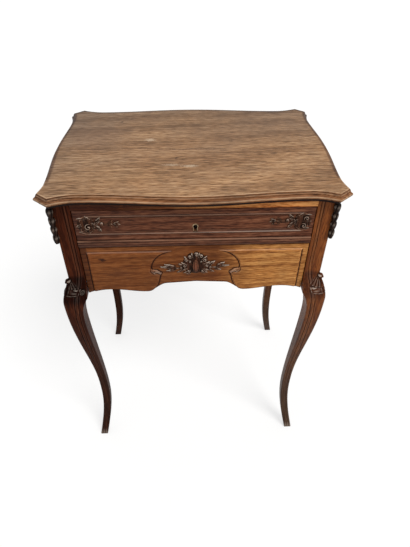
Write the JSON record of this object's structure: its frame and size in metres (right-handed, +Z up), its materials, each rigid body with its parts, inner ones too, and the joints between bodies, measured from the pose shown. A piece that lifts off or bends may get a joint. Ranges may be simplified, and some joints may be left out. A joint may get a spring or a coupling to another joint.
{
  "type": "work table",
  "caption": "Small carved walnut work table with a serpentine moulded top, a shallow locked drawer above a deep shaped drawer, and cabriole legs.",
  "frame": {"origin": "on the floor, under the middle of the table", "axes": "+Z up, +Y towards the back, +X to the right as seen from the front; the drawers open along -Y"},
  "size_m": [0.5278, 0.3918, 0.73],
  "materials": {
    "walnut_top": "worn dry walnut, greyed",
    "walnut_frame": "satin waxed walnut, red-brown",
    "walnut_dark": "satin waxed walnut, dark",
    "walnut_warm": "satin waxed walnut, golden brown",
    "walnut_carved": "carved walnut, dark in the hollows and rubbed on the edges",
    "oak": "plain planed oak, unpolished",
    "steel": "old iron, dull",
    "brass": "old brass, tarnished"
  },
  "bodies": {
    "case": {"table_top": "walnut_top", "leg_front_left": "walnut_frame", "leg_front_right": "walnut_frame", "leg_rear_left": "walnut_frame", "leg_rear_right": "walnut_frame", "side_panel_left": "walnut_frame", "side_panel_right": "walnut_frame", "back_panel": "walnut_frame", "top_front_rail": "walnut_frame", "middle_rail": "oak", "kicker_left": "oak", "kicker_right": "oak", "upper_runner_left": "oak", "upper_runner_right": "oak", "lower_runner_left": "oak", "lower_runner_right": "oak", "upper_guide_left": "oak", "upper_guide_right": "oak", "lower_guide_left": "oak", "lower_guide_right": "oak", "glue_blocks": "oak", "top_screws": "steel", "runner_screws": "steel", "upper_drawer_stops": "oak", "husk_drop_left": "walnut_carved", "husk_drop_right": "walnut_carved"},
    "upper_drawer": {"upper_drawer_front": "walnut_dark", "upper_drawer_side_left": "oak", "upper_drawer_side_right": "oak", "upper_drawer_back": "oak", "upper_drawer_bottom": "oak", "upper_spray_left": "walnut_carved", "upper_spray_right": "walnut_carved", "keyhole_escutcheon": "brass", "lock_case": "steel", "lock_selvedge": "brass", "lock_drill_pin": "steel", "lock_screws": "steel"},
    "lock_bolt": {"lock_bolt": "brass", "lock_bolt_spring": "steel"},
    "lower_drawer": {"lower_drawer_front": "walnut_warm", "lower_drawer_side_left": "oak", "lower_drawer_side_right": "oak", "lower_drawer_back": "oak", "lower_drawer_bottom": "oak", "cartouche_carving": "walnut_carved"}
  },
  "joints": [
    {"name": "upper_drawer_slide", "type": "slide", "parent": "case", "child": "upper_drawer", "axis": [0, -1, 0], "range_m": [0, 0.22]},
    {"name": "lower_drawer_slide", "type": "slide", "parent": "case", "child": "lower_drawer", "axis": [0, -1, 0], "range_m": [0, 0.22]},
    {"name": "lock_bolt_throw", "type": "slide", "parent": "upper_drawer", "child": "lock_bolt", "axis": [0, 0, 1], "range_m": [0, 0.006]}
  ]
}
